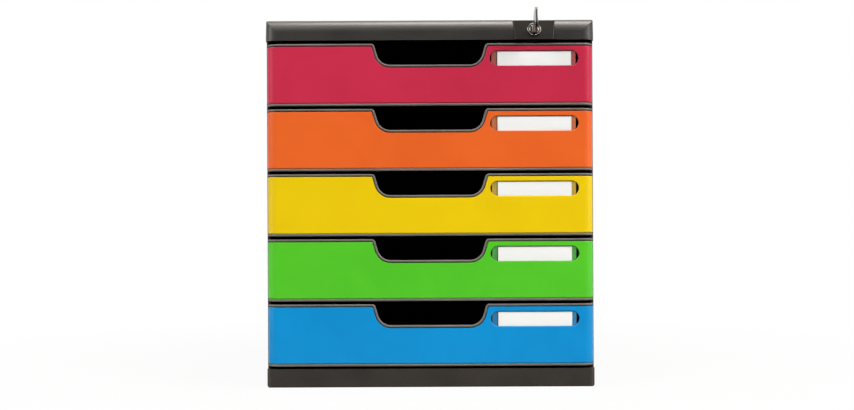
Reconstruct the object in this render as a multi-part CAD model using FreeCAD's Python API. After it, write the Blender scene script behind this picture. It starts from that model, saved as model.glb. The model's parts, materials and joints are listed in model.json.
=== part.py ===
import FreeCAD, Part
import math
import os

# Desktop drawer unit: a moulded case, five drawers with coloured fronts, and a key lock.
# Millimetres. X to the right, Y to the back, Z up, origin on the table under the case's centre.

V = FreeCAD.Vector

# Case
CASE_W = 286.6
DEPTH = 339.0
BASE_H = 16.0
COVER_H = 18.3
COVER_OVERHANG = 0.7
SIDE_T = 2.2
BACK_T = 2.2
BACK_INSET = 2.5
FLANGE_W = 10.0
FLANGE_T = 2.8

# Cover and base mouldings
COVER_T = 2.4
COVER_NOSE_R = 10.5
COVER_CORNER_R = 10.0
COVER_EDGE_R = 1.8
COVER_DRAFT = 0.85
BASE_WALL = 3.2
BASE_PLATE_T = 2.4
BASE_CORNER_R = 4.5
BASE_EDGE_R = 2.4
BASE_FOOT_R = 1.0
BASE_RIB_T = 2.4

# Drawer fronts
DRAWERS = 5
FRONT_H = 54.1
FRONT_GAP = 2.8
BASE_GAP = 2.3
COVER_GAP = 3.1
FRONT_SIDE_GAP = 0.68
FRONT_END_R = 9.0
FRONT_TAIL = 1.0
CLOSE_GAP = 0.3
BACKING_T = 2.9
RIM_TOP = 1.65
RIM_LOW = 1.9
RIM_ROUND = 0.65
INLAY_T = 2.0
INLAY_SET = 0.3
INLAY_FIT = 0.1
INLAY_GROOVE = 0.7
INLAY_ROUND = 0.7
INLAY_LOW_ROUND = 1.2
PEG_R = 2.5
PEG_FIT = 0.15
PEG_HEAD = 1.2
PEG_INSET = 28.0
PEG_HEIGHT = 14.0

# Hand notch in each front
NOTCH_W = 97.9
NOTCH_DEPTH = 18.5
NOTCH_LEAN = 16.5
NOTCH_R = 11.8
NOTCH_LIP_R = 3.2
NOTCH_BACK = 0.6

# Label pocket, card and clear window
LABEL_H = 13.2
LABEL_NOTCH_GAP = 3.6
LABEL_END_GAP = 12.57
LABEL_DROP = 13.0
LABEL_POCKET = 1.1
POCKET_EDGE = 0.4
CARD_T = 0.3
CARD_END_GAP = 6.45
WINDOW_T = 0.5
LABEL_FIT = 0.1
EYE_LEFT = 1.5
EYE_RIGHT = 2.7

# Trays and runners
TRAVEL = 245.0
TRAY_WALL = 1.8
TRAY_FLOOR = 2.0
TRAY_LIFT = 3.0
TRAY_H = 40.0
TRAY_REAR_ROOM = 7.0
TRAY_CORNER_R = 8.0
TRAY_EDGE_R = 3.0
TRAY_FRONT_DROP = 2.1
TRAY_FRONT_GAP = 0.2
RAIL_T = 2.5
RAIL_FRONT_GAP = 1.0
RUN_GAP = 0.3
GUIDE_GAP = 0.6
RUNNER_W = 9.0
RUNNER_T = 2.5
RUNNER_SIDE_GAP = 1.0
RUNNER_REAR_GAP = 4.0
GUIDE_RIB_W = 4.8
STOP_L = 4.0
STOP_H = 3.4
STOP_GAP = 0.5
STOP_TAB_T = 3.0
STOP_TAB_H = 3.0

# Lock bar, its hooks and guide clips
BAR_T = 1.5
BAR_W = 12.0
BAR_WALL_GAP = 0.8
BAR_GAP = 0.3
CLIP_T = 1.2
CLIP_H = 10.0
CLIP_RISE = 24.0
CLIP_RAIL_GAP = 0.6
HOOK_T = 3.0
HOOK_H = 7.0
HOOK_RISE = 4.0
HOOK_LAP = 2.2
STRIKE_L = 5.0
STRIKE_H = 8.0
STRIKE_LIFT = 1.5
LOCK_PLAY = 0.8
RUNNER_BAR_GAP = 2.0

# Lock in the cover
LOCK_INSET = 52.1
LOCK_RISE = 8.4
LOCK_TILT = 16.0
HOUSING_DROP = 1.0
HOUSING_TOP_W = 36.8
HOUSING_LOW_W = 33.4
HOUSING_T = 10.0
HOUSING_PROUD = 2.5
HOUSING_FIT = 0.1
HOUSING_EDGE_R = 1.0
HOUSING_SIDE_R = 0.5
RING_R = 5.95
RING_T = 1.2
RING_ROUND = 0.5
BARREL_R = 5.25
BARREL_L = 18.0
BARREL_FIT = 0.1
PLUG_R = 4.0
PLUG_FIT = 0.05
PLUG_PROUD = 0.4
PLUG_TAIL = 0.3
NUT_AF = 14.0
NUT_T = 4.0
CAM_T = 2.0
CAM_R = 4.5
CRANK = 6.0
CRANK_START = 45.0
PIN_R = 1.5
PIN_EYE_R = 2.8
PIN_OVERLAP = 0.8
ARM_T = 1.5
ARM_H = 9.0
ARM_END = 4.0
ARM_CAM_GAP = 0.7
SLOT_GAP = 0.4

# Key
BLADE_W = 5.5
BLADE_T = 1.5
BLADE_L = 12.5
BLADE_CUT = 0.9
BLADE_CUTS = 4
KEYWAY_GAP = 0.2
KEYWAY_L = 13.0
NECK_W = 6.5
KEY_T = 2.2
KEY_SEAT = 0.3
BOW_W = 18.0
BOW_L = 20.0
BOW_OUT = 21.5
BOW_CORNER_R = 4.0
BOW_HOLE_R = 2.1
BOW_HOLE_OFF = 5.2
BOW_ROUND = 0.6

# Screws
SCREW_R = 1.5
SCREW_L = 7.0
SCREW_HEAD_R = 3.0
SCREW_HEAD_T = 2.2
SCREW_FIT = 0.05
SCREW_SLOT_W = 0.9
SCREW_SLOT_L = 3.6
SCREW_SLOT_T = 0.9
SCREW_TIP_GAP = 1.0
SCREW_HEAD_GAP = 1.0
SCREW_END = 50.0
POST_R = 3.5
CAM_SCREW_HEAD_R = 2.75
CAM_SCREW_HEAD_T = 1.8
CAM_SCREW_L = 5.6

# Levels and faces that follow from the sizes above
FRONT_Y = -DEPTH / 2
BACK_Y = DEPTH / 2
PITCH = FRONT_H + FRONT_GAP
COVER_Z = BASE_H + BASE_GAP + DRAWERS * FRONT_H + (DRAWERS - 1) * FRONT_GAP + COVER_GAP
TOP_Z = COVER_Z + COVER_H
SIDE_X = CASE_W / 2
INNER_X = SIDE_X - SIDE_T
FRONT_RETURN = FRONT_END_R + FRONT_TAIL
SHOULDER_Y = FRONT_Y + FRONT_RETURN + CLOSE_GAP
SIDE_BACK_Y = BACK_Y - BACK_INSET - BACK_T
FRONT_X = SIDE_X - FRONT_SIDE_GAP
FRAME_T = INLAY_SET + INLAY_T + BACKING_T
TRAY_X = INNER_X - RUNNER_W
TRAY_Y = FRONT_Y + FRAME_T
TRAY_BACK_Y = SIDE_BACK_Y - FLANGE_T - TRAY_REAR_ROOM
TRAY_TOP = TRAY_LIFT + TRAY_H
BAR_X = INNER_X - BAR_WALL_GAP - BAR_T
CLIP_X = BAR_X - BAR_GAP - CLIP_T
RAIL_X = CLIP_X - CLIP_RAIL_GAP
LABEL_W = FRONT_X - NOTCH_W / 2 - LABEL_NOTCH_GAP - LABEL_END_GAP
LABEL_X = FRONT_X - LABEL_END_GAP - LABEL_W / 2
LABEL_Z = FRONT_H - LABEL_DROP
SCREW_X = INNER_X - FLANGE_W / 2
SCREW_ROWS = (FRONT_Y + SCREW_END, 0.0, BACK_Y - SCREW_END)

# The lock leans back: its own frame has X right, Y up the face and Z out of the face
TILT = math.radians(LOCK_TILT)
LOCK_X = SIDE_X - LOCK_INSET
LOCK_FACE_Y = FRONT_Y - HOUSING_PROUD + LOCK_RISE * math.tan(TILT)
LOCK_AT = V(LOCK_X, LOCK_FACE_Y, COVER_Z + LOCK_RISE)
LOCK_PLACE = FreeCAD.Placement(LOCK_AT, FreeCAD.Rotation(V(1, 0, 0), 90 - LOCK_TILT))
PLUG_L = BARREL_L + PLUG_TAIL
CAM_BACK = PLUG_L + CAM_T
CAM_REAR_Y = LOCK_AT.y + CAM_BACK * math.cos(TILT)
CAM_REAR_Z = LOCK_AT.z - CAM_BACK * math.sin(TILT)
CAM_REACH = CRANK + PIN_EYE_R
ARM_Y = CAM_REAR_Y + CAM_REACH * math.sin(TILT) + ARM_CAM_GAP
BAR_Y = ARM_Y + ARM_T / 2
RUNNER_Y = BAR_Y + BAR_W / 2 + RUNNER_BAR_GAP
CRANK_RISE = CRANK * math.sin(math.radians(CRANK_START)) / math.cos(TILT)
STROKE = 2 * CRANK_RISE
SLOT_Z = CAM_REAR_Z - math.tan(TILT) * (BAR_Y - CAM_REAR_Y) - CRANK_RISE
STRIKE_Z = HOOK_RISE + HOOK_H + STRIKE_LIFT
STRIKE_Y = BAR_Y - HOOK_T / 2 + LOCK_PLAY

MARGIN = 20.0


def front_z(row):
    """Lower edge of the drawer front in a row, where row 1 is the top drawer."""
    return BASE_H + BASE_GAP + (DRAWERS - row) * PITCH


def span(low, high):
    """Box between two corners."""
    return Part.makeBox(high[0] - low[0], high[1] - low[1], high[2] - low[2], V(*low))


def plan(z):
    """Puts outline points on a level plane."""
    return lambda a, b: V(a, b, z)


def facing(y):
    """Puts outline points on a plane seen from the front."""
    return lambda a, b: V(a, y, b)


def sideways(x):
    """Puts outline points on a plane seen from the side."""
    return lambda a, b: V(x, a, b)


def outline(corners, place):
    """Face on a closed outline of (a, b, radius) corners, with each corner rounded."""
    count = len(corners)
    bends = []
    for i, (a, b, radius) in enumerate(corners):
        here = V(a, b, 0)
        back = V(corners[i - 1][0], corners[i - 1][1], 0) - here
        ahead = V(corners[(i + 1) % count][0], corners[(i + 1) % count][1], 0) - here
        back.normalize()
        ahead.normalize()
        half = back.getAngle(ahead) / 2
        cut = radius / math.tan(half)
        middle = here + (back + ahead).normalize() * (radius / math.sin(half) - radius)
        bends.append((here + back * cut, middle, here + ahead * cut, radius))
    edges = []
    for i, (enter, middle, leave, radius) in enumerate(bends):
        start = bends[i - 1][2]
        if (enter - start).Length > 1e-6:
            edges.append(Part.makeLine(place(start.x, start.y), place(enter.x, enter.y)))
        if radius > 0:
            arc = [place(p.x, p.y) for p in (enter, middle, leave)]
            edges.append(Part.Arc(*arc).toShape())
    return Part.Face(Part.Wire(edges))


def rounded_box(half_x, low_y, high_y, low_z, high_z, radius):
    """Upright block, centred in X, with rounded vertical corners."""
    corners = [(-half_x, low_y, radius), (half_x, low_y, radius)]
    corners += [(half_x, high_y, radius), (-half_x, high_y, radius)]
    return outline(corners, plan(low_z)).extrude(V(0, 0, high_z - low_z))


def rod(radius, low, high, x=0.0, y=0.0):
    """Round bar along Z."""
    return Part.makeCylinder(radius, high - low, V(x, y, low))


def fuse(shapes):
    """One clean solid from touching shapes."""
    return shapes[0].multiFuse(shapes[1:]).removeSplitter()


def moved(shape, x=0.0, y=0.0, z=0.0):
    """Copy of a shape, shifted."""
    copy = shape.copy()
    copy.translate(V(x, y, z))
    return copy


def save(name, shape):
    """Writes one piece, or one group of like pieces, to its file."""
    shape.exportStep("parts/" + name + ".step")


def screw(at, direction):
    """Pan-head screw whose head seats at a point, with its shank along a direction."""
    head = rod(SCREW_HEAD_R, -SCREW_HEAD_T, 0)
    rim = [e for e in head.Edges if abs(e.BoundBox.ZMax + SCREW_HEAD_T) < 1e-6]
    head = head.makeFillet(SCREW_HEAD_T / 2, rim)
    body = fuse([head, rod(SCREW_R, 0, SCREW_L)])
    half = SCREW_SLOT_W / 2
    arm = SCREW_SLOT_L / 2
    floor = SCREW_SLOT_T - SCREW_HEAD_T
    body = body.cut(span((-half, -arm, -SCREW_HEAD_T), (half, arm, floor)))
    body = body.cut(span((-arm, -half, -SCREW_HEAD_T), (arm, half, floor)))
    body.Placement = FreeCAD.Placement(at, FreeCAD.Rotation(V(0, 0, 1), direction))
    return body


def screw_holes(places, direction):
    """Cutters for a row of screw shanks."""
    holes = [Part.makeCylinder(SCREW_R + SCREW_FIT, SCREW_L + MARGIN, at, direction) for at in places]
    return Part.makeCompound(holes)


def cover_block(wall):
    """Outer form of the cover, or its hollow when a wall is given."""
    half = SIDE_X + COVER_OVERHANG - wall
    low_y = FRONT_Y + wall
    high_y = BACK_Y - wall
    top = TOP_Z - wall
    nose = max(COVER_NOSE_R - wall, 0)
    edge = max(COVER_EDGE_R - wall, 0)
    body = rounded_box(half, low_y, high_y, COVER_Z, top, max(COVER_CORNER_R - wall, 0))
    side = [(low_y, COVER_Z, 0), (high_y, COVER_Z, 0), (high_y, top, edge), (low_y, top, nose)]
    body = body.common(outline(side, sideways(-half)).extrude(V(2 * half, 0, 0)))
    end = half - COVER_DRAFT
    front = [(-half, COVER_Z, 0), (half, COVER_Z, 0), (end, top, edge), (-end, top, edge)]
    return body.common(outline(front, facing(low_y)).extrude(V(0, high_y - low_y, 0)))


def housing_block(grow):
    """Lock block, tapered from the front and leaning back, or the hole for it when grown."""
    rise = COVER_H - HOUSING_DROP if grow == 0 else COVER_H
    spread = (HOUSING_TOP_W - HOUSING_LOW_W) / 2 / (COVER_H - HOUSING_DROP)
    low_half = HOUSING_LOW_W / 2 + grow
    top_half = low_half + spread * rise
    lean = rise * math.tan(TILT)
    top = COVER_Z + rise
    front_y = FRONT_Y - HOUSING_PROUD - grow * MARGIN
    back_y = FRONT_Y - HOUSING_PROUD + HOUSING_T / math.cos(TILT) + grow
    round_r = HOUSING_EDGE_R if grow == 0 else 0
    face = [(LOCK_X - low_half, COVER_Z, 0), (LOCK_X + low_half, COVER_Z, 0)]
    face += [(LOCK_X + top_half, top, 0), (LOCK_X - top_half, top, 0)]
    reach = back_y + lean - front_y
    body = outline(face, facing(front_y)).extrude(V(0, reach, 0))
    side = [(front_y, COVER_Z, 0), (back_y, COVER_Z, 0)]
    side += [(back_y + lean, top, 0), (front_y + lean, top, round_r)]
    slab = outline(side, sideways(LOCK_X - top_half)).extrude(V(2 * top_half, 0, 0))
    return body.common(slab)


def cover_screw_places():
    """Seats of the screws that hold the cover, under the side panels' top flanges."""
    return [V(s * SCREW_X, y, COVER_Z - FLANGE_T) for s in (-1, 1) for y in SCREW_ROWS]


def base_screw_places():
    """Seats of the screws that hold the side panels, under the base's top plate."""
    return [V(s * SCREW_X, y, BASE_H - BASE_PLATE_T) for s in (-1, 1) for y in SCREW_ROWS]


def back_screw_places():
    """Seats of the screws on the back panel, one level with the middle of every other drawer."""
    levels = [front_z(row) + FRONT_H / 2 for row in range(1, DRAWERS + 1, 2)]
    return [V(s * SCREW_X, BACK_Y - BACK_INSET, z) for s in (-1, 1) for z in levels]


def make_cover():
    """Hollow lid with a rolled front edge, screw posts and the hole for the lock block."""
    shell = cover_block(0).cut(cover_block(COVER_T))
    roof = TOP_Z - COVER_T / 2
    posts = [rod(POST_R, COVER_Z, roof, at.x, at.y) for at in cover_screw_places()]
    shell = fuse([shell] + posts)
    depth = SCREW_L - FLANGE_T
    for at in cover_screw_places():
        shell = shell.cut(rod(SCREW_R + SCREW_FIT, COVER_Z, COVER_Z + depth + SCREW_TIP_GAP, at.x, at.y))
    return shell.cut(housing_block(HOUSING_FIT))


def make_base():
    """Hollow plinth with stiffening ribs, which the unit stands on."""
    body = rounded_box(SIDE_X, FRONT_Y, BACK_Y, 0, BASE_H, BASE_CORNER_R)
    front = [(-SIDE_X, 0, BASE_EDGE_R), (SIDE_X, 0, BASE_EDGE_R), (SIDE_X, BASE_H, 0), (-SIDE_X, BASE_H, 0)]
    body = body.common(outline(front, facing(FRONT_Y)).extrude(V(0, DEPTH, 0)))
    side = [(FRONT_Y, 0, BASE_FOOT_R), (BACK_Y, 0, BASE_FOOT_R), (BACK_Y, BASE_H, 0), (FRONT_Y, BASE_H, 0)]
    body = body.common(outline(side, sideways(-SIDE_X)).extrude(V(CASE_W, 0, 0)))
    under = BASE_H - BASE_PLATE_T
    hollow_x = SIDE_X - BASE_WALL
    hollow = (hollow_x, FRONT_Y + BASE_WALL, BACK_Y - BASE_WALL)
    body = body.cut(rounded_box(*hollow, 0, under, BASE_CORNER_R - BASE_WALL))
    rib = BASE_RIB_T / 2
    along = span((-rib, FRONT_Y + BASE_WALL, 0), (rib, BACK_Y - BASE_WALL, under))
    across = span((-hollow_x, -rib, 0), (hollow_x, rib, under))
    screws_clear = rod(SCREW_HEAD_R + SCREW_HEAD_GAP, 0, under)
    across = across.cut(moved(screws_clear, x=SCREW_X)).cut(moved(screws_clear, x=-SCREW_X))
    body = fuse([body, along, across])
    return body.cut(screw_holes(base_screw_places(), V(0, 0, 1)))


def make_side(hand):
    """Side panel with flanges, runner ledges, guide ribs and stops; hand is 1 right, -1 left."""
    pieces = [span((INNER_X, SHOULDER_Y, BASE_H), (SIDE_X, SIDE_BACK_Y, COVER_Z))]
    inner = INNER_X - FLANGE_W
    rear = SIDE_BACK_Y - FLANGE_T
    pieces.append(span((inner, RUNNER_Y, BASE_H), (INNER_X, SIDE_BACK_Y, BASE_H + FLANGE_T)))
    pieces.append(span((inner, RUNNER_Y, COVER_Z - FLANGE_T), (INNER_X, SIDE_BACK_Y, COVER_Z)))
    pieces.append(span((inner, rear, BASE_H), (INNER_X, SIDE_BACK_Y, COVER_Z)))
    for row in range(1, DRAWERS + 1):
        ledge = front_z(row) + TRAY_TOP - RAIL_T - RUN_GAP
        rib = front_z(row) + TRAY_TOP + GUIDE_GAP
        end = rear - RUNNER_REAR_GAP
        ledge_x = TRAY_X + RUNNER_SIDE_GAP
        pieces.append(span((ledge_x, RUNNER_Y, ledge - RUNNER_T), (INNER_X, end, ledge)))
        pieces.append(span((INNER_X - GUIDE_RIB_W, RUNNER_Y, rib), (INNER_X, end, rib + RUNNER_T)))
        pieces.append(span((ledge_x, RUNNER_Y, rib), (INNER_X, RUNNER_Y + STOP_L, rib + STOP_H)))
    panel = fuse(pieces)
    if hand < 0:
        panel = panel.mirror(V(0, 0, 0), V(1, 0, 0))
    panel = panel.cut(screw_holes(base_screw_places() + cover_screw_places(), V(0, 0, 1)))
    return panel.cut(screw_holes(back_screw_places(), V(0, -1, 0)))


def make_back():
    """Flat back, screwed to the side panels' rear flanges."""
    panel = span((-SIDE_X, SIDE_BACK_Y, BASE_H), (SIDE_X, BACK_Y - BACK_INSET, COVER_Z))
    return panel.cut(screw_holes(back_screw_places(), V(0, -1, 0)))


def front_block(inset, end):
    """Drawer front as a solid block with rounded ends, its face and its ends moved in."""
    half = FRONT_X - end
    low_y = FRONT_Y + inset
    high_y = FRONT_Y + FRONT_RETURN
    radius = FRONT_END_R - inset
    corners = [(-half, low_y, radius), (half, low_y, radius), (half, high_y, 0), (-half, high_y, 0)]
    return outline(corners, plan(0)).extrude(V(0, 0, FRONT_H))


def above_front(drop, grow):
    """All that lies above the front's top edge, hand notch included, as a cutter."""
    lean = math.radians(NOTCH_LEAN)
    top = FRONT_H - drop
    low = FRONT_H - NOTCH_DEPTH - grow
    edge = NOTCH_W / 2 + grow / math.cos(lean)
    top_x = edge - drop * math.tan(lean)
    low_x = edge - (FRONT_H - low) * math.tan(lean)
    wide = FRONT_X + MARGIN
    lip = max(NOTCH_LIP_R - grow, 0)
    bend = NOTCH_R + grow
    right = [(low_x, low, bend), (top_x, top, lip), (wide, top, 0), (wide, FRONT_H + MARGIN, 0)]
    left = [(-a, b, r) for a, b, r in reversed(right)]
    face = outline(right + left, facing(FRONT_Y - MARGIN))
    return face.extrude(V(0, FRONT_RETURN + 2 * MARGIN, 0))


def inlay_zone(rest, groove):
    """Space that the coloured panel may fill, above the lower rim and under the upper one."""
    wide = FRONT_X + MARGIN
    low = (-wide, FRONT_Y - MARGIN, RIM_LOW + rest)
    zone = span(low, (wide, FRONT_Y + FRONT_RETURN, FRONT_H))
    return zone.cut(above_front(RIM_TOP + groove, RIM_TOP + groove))


def skin_edges(shape, inset, end):
    """Edges on a front's outer skin, apart from the seams where that skin runs on smoothly."""
    skin = front_block(inset, end)
    upright = [f for f in skin.Faces if f.BoundBox.ZLength > FRONT_H / 2]
    rear = FRONT_Y + FRONT_RETURN
    wall = Part.makeShell([f for f in upright if f.BoundBox.YMin < rear - inset])
    found = []
    for edge in shape.Edges:
        middle = edge.valueAt((edge.FirstParameter + edge.LastParameter) / 2)
        at_rear = edge.BoundBox.YMin > rear - 1e-4
        if at_rear or wall.distToShape(Part.Vertex(middle))[0] > 1e-4:
            continue
        near = [f for f in shape.Faces if any(e.isSame(edge) for e in f.Edges)]
        normals = [f.normalAt(*f.Surface.parameter(middle)) for f in near]
        if len(normals) == 2 and normals[0].getAngle(normals[1]) > 0.2:
            found.append(edge)
    return found


def make_front_frame():
    """Grey moulded front with a rounded rim round the inlay and the hand notch, and rear pegs."""
    hollow = front_block(FRAME_T, FRAME_T)
    hollow = hollow.fuse(moved(hollow, y=FRAME_T))
    frame = front_block(0, 0).cut(hollow).cut(above_front(0, 0))
    bed = front_block(0, 0).cut(front_block(INLAY_SET + INLAY_T, INLAY_T))
    frame = frame.cut(bed.common(inlay_zone(0, 0)))
    frame = frame.makeFillet(RIM_ROUND, skin_edges(frame, 0, 0)).cut(label_eyes())
    pegs = []
    for x in (-FRONT_X + PEG_INSET, FRONT_X - PEG_INSET):
        length = TRAY_WALL + PEG_HEAD
        pegs.append(Part.makeCylinder(PEG_R, length, V(x, TRAY_Y, PEG_HEIGHT), V(0, 1, 0)))
    return fuse([frame] + pegs)


def stadium_face(width, height, y):
    """Outline with round ends, at the label's place on a front."""
    corners = []
    for a, b in ((-1, -1), (1, -1), (1, 1), (-1, 1)):
        corners.append((LABEL_X + a * width / 2, LABEL_Z + b * height / 2, height / 2 - 1e-4))
    return outline(corners, facing(y))


def stadium(width, height, low_y, high_y):
    """Flat piece with round ends, at the label's place on a front."""
    return stadium_face(width, height, low_y).extrude(V(0, high_y - low_y, 0))


def strip_zone(fit):
    """Part of the label's pocket that the clear strip may fill, between the eyes at its ends."""
    low = (LABEL_X - LABEL_W / 2 + EYE_LEFT + fit, FRONT_Y, 0)
    return span(low, (LABEL_X + LABEL_W / 2 - EYE_RIGHT - fit, TRAY_Y, FRONT_H))


def label_eyes():
    """Openings at the pocket's two ends, where a pin can lift the strip."""
    return stadium(LABEL_W, LABEL_H, FRONT_Y, TRAY_Y).cut(strip_zone(0))


def make_inlay():
    """Coloured panel that fills the front, with the label's pocket."""
    panel = front_block(INLAY_SET, 0).cut(front_block(INLAY_SET + INLAY_T, INLAY_T))
    panel = panel.common(inlay_zone(INLAY_FIT, INLAY_GROOVE))
    lower = [e for e in skin_edges(panel, INLAY_SET, 0) if e.BoundBox.ZMax < RIM_LOW + 2 * INLAY_FIT]
    panel = panel.makeFillet(INLAY_LOW_ROUND, lower)
    panel = panel.makeFillet(INLAY_ROUND, skin_edges(panel, INLAY_SET, 0))
    skin = FRONT_Y + INLAY_SET
    mouth = stadium_face(LABEL_W + 2 * POCKET_EDGE, LABEL_H + 2 * POCKET_EDGE, skin)
    throat = stadium_face(LABEL_W, LABEL_H, skin + POCKET_EDGE)
    panel = panel.cut(Part.makeLoft([mouth.OuterWire, throat.OuterWire], True, True))
    return panel.cut(stadium(LABEL_W, LABEL_H, skin, skin + LABEL_POCKET)).cut(label_eyes())


def make_card():
    """White label card on the pocket's floor."""
    floor = FRONT_Y + INLAY_SET + LABEL_POCKET
    half = LABEL_W / 2 - CARD_END_GAP
    tall = LABEL_H / 2 - LABEL_FIT
    low = (LABEL_X - half, floor - CARD_T, LABEL_Z - tall)
    return span(low, (LABEL_X + half, floor, LABEL_Z + tall))


def make_window():
    """Clear strip that holds the card in its pocket."""
    back = FRONT_Y + INLAY_SET + LABEL_POCKET - CARD_T
    strip = stadium(LABEL_W - 2 * LABEL_FIT, LABEL_H - 2 * LABEL_FIT, back - WINDOW_T, back)
    return strip.common(strip_zone(LABEL_FIT))


def tub(wall, floor):
    """Tray's outer form, or its hollow when a wall and floor are given."""
    half = TRAY_X - wall
    low = V(-half, TRAY_Y + wall, TRAY_LIFT + floor)
    body = Part.makeBox(2 * half, TRAY_BACK_Y - TRAY_Y - 2 * wall, TRAY_H - floor + wall, low)
    back = TRAY_BACK_Y - wall
    uprights = [e for e in body.Edges if e.BoundBox.ZLength > 1 and abs(e.BoundBox.YMax - back) < 1e-3]
    body = body.makeFillet(TRAY_CORNER_R - wall, uprights)
    bottom = [e for e in body.Edges if e.BoundBox.ZMax < low.z + 1e-3]
    return body.makeFillet(TRAY_EDGE_R, bottom)


def make_tray():
    """Open tray with side rails, stop tabs and a front wall that carries the front frame."""
    wide = FRONT_X - FRONT_END_R - TRAY_FRONT_GAP
    wall_top = FRONT_H - TRAY_FRONT_DROP
    plate = span((-wide, TRAY_Y, TRAY_LIFT), (wide, TRAY_Y + TRAY_WALL, wall_top))
    pieces = [tub(0, 0), plate]
    rail_y = FRONT_Y + FRONT_RETURN + RAIL_FRONT_GAP
    tab_y = RUNNER_Y + STOP_L + TRAVEL + STOP_GAP
    tab_x = INNER_X - GUIDE_RIB_W - STOP_GAP
    for hand in (-1, 1):
        rail = span((TRAY_X, rail_y, TRAY_TOP - RAIL_T), (RAIL_X, TRAY_BACK_Y - TRAY_CORNER_R, TRAY_TOP))
        tab = span((TRAY_X, tab_y, TRAY_TOP), (tab_x, tab_y + STOP_TAB_T, TRAY_TOP + STOP_TAB_H))
        for piece in (rail, tab):
            pieces.append(piece if hand > 0 else piece.mirror(V(0, 0, 0), V(1, 0, 0)))
    tray = fuse(pieces).cut(tub(TRAY_WALL, TRAY_FLOOR))
    tray = tray.cut(above_front(TRAY_FRONT_DROP, NOTCH_BACK).common(span_front_wall()))
    for x in (-FRONT_X + PEG_INSET, FRONT_X - PEG_INSET):
        at = V(x, TRAY_Y, PEG_HEIGHT)
        tray = tray.cut(Part.makeCylinder(PEG_R + PEG_FIT, TRAY_WALL, at, V(0, 1, 0)))
    return tray


def span_front_wall():
    """Slab that holds the tray's front wall alone."""
    low = (-FRONT_X, TRAY_Y, 0)
    return span(low, (FRONT_X, TRAY_Y + TRAY_WALL, FRONT_H))


def make_strike():
    """Lug on the tray's right wall, which the lock's hook stops."""
    low = (TRAY_X, STRIKE_Y, STRIKE_Z)
    return span(low, (RAIL_X, STRIKE_Y + STRIKE_L, STRIKE_Z + STRIKE_H))


def make_bar():
    """Flat lock bar that stands on the base behind the right side panel's lip."""
    low = (BAR_X, BAR_Y - BAR_W / 2, BASE_H + BAR_GAP)
    return span(low, (BAR_X + BAR_T, BAR_Y + BAR_W / 2, SLOT_Z + ARM_H / 2))


def crank_sway():
    """Most that the crank pin's height strays from a steady rise as it turns."""
    start = math.radians(CRANK_START)
    slope = math.sin(start) / start
    worst = math.acos(slope)
    return CRANK * (math.sin(worst) - slope * worst) / math.cos(TILT)


def make_arm():
    """Arm from the bar to the cam, with the slot that the cam pin lifts."""
    low_z = SLOT_Z - ARM_H / 2
    pin_x = LOCK_X - CRANK * math.cos(math.radians(CRANK_START))
    out_x = LOCK_X - CRANK
    left = out_x - PIN_R - SLOT_GAP - ARM_END
    arm = span((left, ARM_Y, low_z), (BAR_X, ARM_Y + ARM_T, low_z + ARM_H))
    foot = span((BAR_X - ARM_T, ARM_Y, low_z), (BAR_X, BAR_Y + BAR_W / 2, low_z + ARM_H))
    half = PIN_R / math.cos(TILT) + ARM_T * math.tan(TILT) / 2 + crank_sway() + SLOT_GAP
    slot_low = (out_x - PIN_R - SLOT_GAP, ARM_Y, SLOT_Z - half)
    slot_high = (pin_x + PIN_R + SLOT_GAP, ARM_Y + ARM_T, SLOT_Z + half)
    return fuse([arm, foot]).cut(span(slot_low, slot_high))


def make_hooks():
    """One hook on the bar for each drawer."""
    hooks = []
    for row in range(1, DRAWERS + 1):
        low_z = front_z(row) + HOOK_RISE
        low = (RAIL_X - HOOK_LAP, BAR_Y - 3 * HOOK_T / 2, low_z)
        hooks.append(span(low, (BAR_X, BAR_Y - HOOK_T / 2, low_z + HOOK_H)))
    return Part.makeCompound(hooks)


def make_clips():
    """Bridges that hold the bar against the side panel, beside every other drawer."""
    clips = []
    half = BAR_W / 2 + BAR_GAP
    for row in range(1, DRAWERS + 1, 2):
        low_z = front_z(row) + CLIP_RISE
        out = half + CLIP_T
        block = span((CLIP_X, BAR_Y - out, low_z), (INNER_X, BAR_Y + out, low_z + CLIP_H))
        way = span((BAR_X - BAR_GAP, BAR_Y - half, low_z), (INNER_X, BAR_Y + half, low_z + CLIP_H))
        clips.append(block.cut(way))
    return Part.makeCompound(clips)


def placed(shape):
    """Puts a piece made in the lock's own frame into the unit."""
    shape.Placement = LOCK_PLACE
    return shape


def make_housing():
    """Smooth block in the cover that holds the lock."""
    block = housing_block(0)
    tall = [e for e in block.Edges if e.BoundBox.ZLength > COVER_H / 2 and e.BoundBox.YMin < FRONT_Y]
    block = block.makeFillet(HOUSING_SIDE_R, tall)
    return block.cut(placed(rod(BARREL_R + BARREL_FIT, -HOUSING_T - MARGIN, MARGIN)))


def make_barrel():
    """Fixed lock body with its ring."""
    ring = rod(RING_R, 0, RING_T)
    rim = [e for e in ring.Edges if e.BoundBox.ZMin > RING_T / 2]
    body = fuse([ring.makeFillet(RING_ROUND, rim), rod(BARREL_R, -BARREL_L, 0)])
    return placed(body.cut(rod(PLUG_R + PLUG_FIT, -BARREL_L, RING_T)))


def make_nut():
    """Hexagon nut that clamps the barrel behind the block."""
    reach = NUT_AF / math.sqrt(3)
    corners = []
    for i in range(6):
        turn = math.radians(60 * i)
        corners.append((reach * math.cos(turn), reach * math.sin(turn), 0))
    nut = outline(corners, plan(-HOUSING_T - NUT_T)).extrude(V(0, 0, NUT_T))
    return placed(nut.cut(rod(BARREL_R + BARREL_FIT, -HOUSING_T - NUT_T, -HOUSING_T)))


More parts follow.
